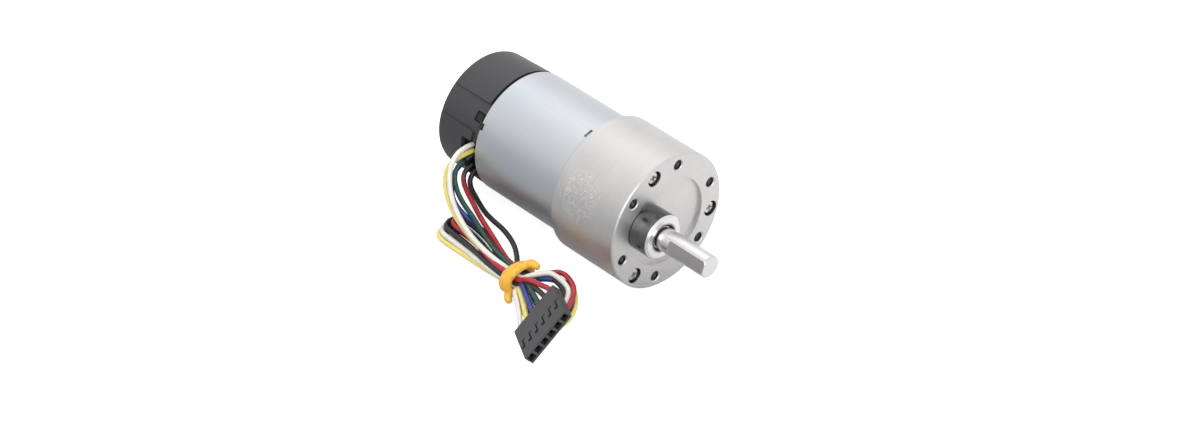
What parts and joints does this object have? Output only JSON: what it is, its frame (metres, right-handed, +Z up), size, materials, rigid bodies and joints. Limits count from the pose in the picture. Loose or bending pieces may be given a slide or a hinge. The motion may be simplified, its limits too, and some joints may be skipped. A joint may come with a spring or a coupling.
{
  "type": "gearmotor",
  "caption": "Round direct-current gearmotor with offset D-shaft, face mounting holes, black encoder cap and a tied hank of coloured leads ending in a flat connector.",
  "frame": {"origin": "centre of the gearbox's front face, on the motor axis and the mounting circle", "axes": "+X along the motor axis towards the output shaft, +Z up; the output shaft is offset towards -Y and a little +Z"},
  "size_m": [0.089, 0.0676, 0.037],
  "materials": {
    "casing_steel": "satin, finely machined",
    "can_steel": "satin, plated",
    "polished_steel": "polished",
    "gear_steel": "machined",
    "screw_steel": "plated",
    "sintered_bronze": "matte",
    "brass": "satin",
    "copper": "enamelled",
    "ferrite": "matte",
    "lamination": "satin",
    "carbon": "matte",
    "bell_plastic": "moulded",
    "cap_plastic": "fine moulded texture",
    "board": "solder mask",
    "solder": "bright",
    "chip_plastic": "matte",
    "wire_white": "satin insulation",
    "wire_yellow": "satin insulation",
    "wire_green": "satin insulation",
    "wire_blue": "satin insulation",
    "wire_red": "satin insulation",
    "wire_black": "satin insulation",
    "tie_orange": "soft, matte",
    "connector_plastic": "moulded",
    "terminal_tin": "tin plated"
  },
  "bodies": {
    "motor_body": {"front_plate": "casing_steel", "gearbox_housing": "casing_steel", "gearbox_rear_plate": "casing_steel", "gearbox_screws": "screw_steel", "motor_mount_screws": "screw_steel", "output_bushing": "polished_steel", "output_thrust_sleeve": "brass", "gear_pins": "polished_steel", "motor_can": "can_steel", "field_magnets": "ferrite", "front_bushing": "sintered_bronze", "rear_bushing": "sintered_bronze", "end_bell": "bell_plastic", "brush_holders": "brass", "carbon_brushes": "carbon", "brush_springs": "brass", "motor_terminals": "brass", "terminal_solder": "solder", "encoder_base": "cap_plastic", "encoder_board": "board", "hall_sensors": "chip_plastic", "board_components": "chip_plastic", "encoder_cap": "cap_plastic", "lead_hank": "wire_black", "wire_tie": "tie_orange", "connector_housing": "connector_plastic", "crimp_terminals": "terminal_tin", "lead_white": "wire_white", "lead_white_tail": "wire_white", "lead_yellow": "wire_yellow", "lead_yellow_tail": "wire_yellow", "lead_green": "wire_green", "lead_green_tail": "wire_green", "lead_blue": "wire_blue", "lead_blue_tail": "wire_blue", "lead_red": "wire_red", "lead_red_tail": "wire_red", "lead_black": "wire_black", "lead_black_tail": "wire_black"},
    "output": {"output_shaft": "polished_steel", "output_gear": "gear_steel"},
    "second_gear": {"second_compound_gear": "gear_steel"},
    "first_gear": {"first_compound_gear": "gear_steel"},
    "rotor": {"armature_shaft": "polished_steel", "armature_core": "lamination", "armature_windings": "copper", "commutator_sleeve": "bell_plastic", "commutator_segments": "copper", "armature_washers": "bell_plastic", "motor_pinion": "brass", "encoder_magnet_disc": "ferrite", "encoder_disc_hub": "bell_plastic"}
  },
  "joints": [
    {"name": "output_spin", "type": "hinge", "parent": "motor_body", "child": "output", "pos_m": [-0.012, -0.00676, 0.00181], "axis": [1, 0, 0], "continuous": true},
    {"name": "second_gear_spin", "type": "hinge", "parent": "motor_body", "child": "second_gear", "pos_m": [-0.012, 0.00483, -0.00129], "axis": [1, 0, 0], "continuous": true},
    {"name": "first_gear_spin", "type": "hinge", "parent": "motor_body", "child": "first_gear", "pos_m": [-0.012, 0.00449, 0.0071], "axis": [1, 0, 0], "continuous": true},
    {"name": "rotor_spin", "type": "hinge", "parent": "motor_body", "child": "rotor", "pos_m": [-0.012, 0, 0], "axis": [1, 0, 0], "continuous": true}
  ],
  "couplings": [
    {"joint": "second_gear_spin", "follows": "output_spin", "ratio": -3},
    {"joint": "first_gear_spin", "follows": "output_spin", "ratio": 7.5},
    {"joint": "rotor_spin", "follows": "output_spin", "ratio": -18.75}
  ]
}
